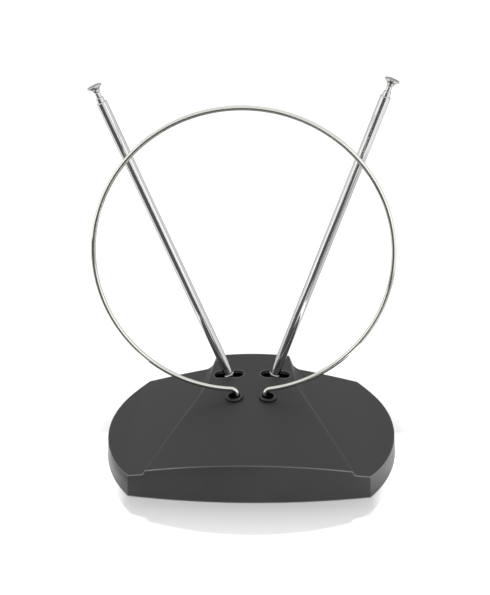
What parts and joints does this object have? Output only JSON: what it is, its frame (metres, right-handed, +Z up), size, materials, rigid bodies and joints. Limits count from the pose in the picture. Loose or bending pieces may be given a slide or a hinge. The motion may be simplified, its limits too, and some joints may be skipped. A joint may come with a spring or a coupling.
{
  "type": "rabbit ears antenna",
  "caption": "Indoor television antenna: two swinging telescopic rods and a wire loop on a low weighted plastic base with a coaxial jack at the rear.",
  "frame": {"origin": "on the table, under the centre of the base", "axes": "+Z up, +X to the right seen from the front, -Y towards the front, so that the rods swing in the XZ plane and the coaxial jack points to +Y"},
  "size_m": [0.1943, 0.1399, 0.2358],
  "materials": {
    "ballast_steel": "zinc plated steel plate",
    "board_laminate": "paper laminate circuit board",
    "clevis_steel": "zinc plated sheet",
    "coax_lead": "black jacket",
    "cover_plastic": "dark grey, fine moulded texture",
    "ferrite": "sintered ferrite",
    "floor_plastic": "black, moulded",
    "grommet_rubber": "black, slightly glossy",
    "jack_insulator": "white dielectric",
    "jack_nickel": "nickel plated",
    "knob_chrome": "polished chrome plate",
    "knuckle_brass": "nickel plated brass",
    "loop_wire": "bright nickel plated wire",
    "pad_rubber": "matt non-slip rubber",
    "rod_lead": "red insulation",
    "screw_steel": "zinc plated",
    "sleeve_brass": "phosphor bronze",
    "terminal_brass": "turned brass",
    "tube_chrome": "polished chrome plate",
    "winding_copper": "enamelled copper wire"
  },
  "bodies": {
    "base": {"ballast_screw_left": "screw_steel", "ballast_screw_right": "screw_steel", "ballast_weight": "ballast_steel", "balun_core": "ferrite", "balun_winding": "winding_copper", "board_screw_left": "screw_steel", "board_screw_right": "screw_steel", "bottom_cover": "floor_plastic", "bracket_screw_left": "screw_steel", "bracket_screw_right": "screw_steel", "circuit_board": "board_laminate", "coax_jack": "jack_nickel", "cover_screw_1": "screw_steel", "cover_screw_2": "screw_steel", "cover_screw_3": "screw_steel", "cover_screw_4": "screw_steel", "jack_contact": "terminal_brass", "jack_insulator": "jack_insulator", "jack_lead": "coax_lead", "jack_nut": "jack_nickel", "jack_washer": "jack_nickel", "loop_grommet_left": "grommet_rubber", "loop_grommet_right": "grommet_rubber", "loop_terminal_left": "terminal_brass", "loop_terminal_right": "terminal_brass", "pivot_pin_left": "clevis_steel", "pivot_pin_right": "clevis_steel", "rod_bracket_left": "clevis_steel", "rod_bracket_right": "clevis_steel", "rod_lead_left": "rod_lead", "rod_lead_right": "rod_lead", "rubber_pad": "pad_rubber", "set_screw_left": "screw_steel", "set_screw_right": "screw_steel", "spring_washer_left": "clevis_steel", "spring_washer_right": "clevis_steel", "top_cover": "cover_plastic", "wire_loop": "loop_wire"},
    "rod_left": {"knuckle_left": "knuckle_brass", "outer_tube_left": "tube_chrome"},
    "second_stage_left": {"second_tube_left": "tube_chrome", "second_sleeve_left": "sleeve_brass"},
    "third_stage_left": {"third_tube_left": "tube_chrome", "third_sleeve_left": "sleeve_brass"},
    "tip_left": {"tip_rod_left": "tube_chrome", "tip_sleeve_left": "sleeve_brass", "tip_knob_left": "knob_chrome"},
    "rod_right": {"knuckle_right": "knuckle_brass", "outer_tube_right": "tube_chrome"},
    "second_stage_right": {"second_tube_right": "tube_chrome", "second_sleeve_right": "sleeve_brass"},
    "third_stage_right": {"third_tube_right": "tube_chrome", "third_sleeve_right": "sleeve_brass"},
    "tip_right": {"tip_rod_right": "tube_chrome", "tip_sleeve_right": "sleeve_brass", "tip_knob_right": "knob_chrome"}
  },
  "joints": [
    {"name": "rod_left_swing", "type": "hinge", "parent": "base", "child": "rod_left", "pos_m": [-0.01, 0.0369, 0.01717], "axis": [0, -1, 0], "range_deg": [-21.2, 14.8]},
    {"name": "rod_left_second_slide", "type": "slide", "parent": "rod_left", "child": "second_stage_left", "axis": [-0.3616, 0, 0.9323], "range_m": [0, 0.18]},
    {"name": "rod_left_third_slide", "type": "slide", "parent": "second_stage_left", "child": "third_stage_left", "axis": [-0.3616, 0, 0.9323], "range_m": [0, 0.181]},
    {"name": "rod_left_tip_slide", "type": "slide", "parent": "third_stage_left", "child": "tip_left", "axis": [-0.3616, 0, 0.9323], "range_m": [0, 0.182]},
    {"name": "rod_right_swing", "type": "hinge", "parent": "base", "child": "rod_right", "pos_m": [0.01, 0.0369, 0.01717], "axis": [0, 1, 0], "range_deg": [-19.4, 16.6]},
    {"name": "rod_right_second_slide", "type": "slide", "parent": "rod_right", "child": "second_stage_right", "axis": [0.3322, 0, 0.9432], "range_m": [0, 0.18]},
    {"name": "rod_right_third_slide", "type": "slide", "parent": "second_stage_right", "child": "third_stage_right", "axis": [0.3322, 0, 0.9432], "range_m": [0, 0.181]},
    {"name": "rod_right_tip_slide", "type": "slide", "parent": "third_stage_right", "child": "tip_right", "axis": [0.3322, 0, 0.9432], "range_m": [0, 0.182]}
  ]
}
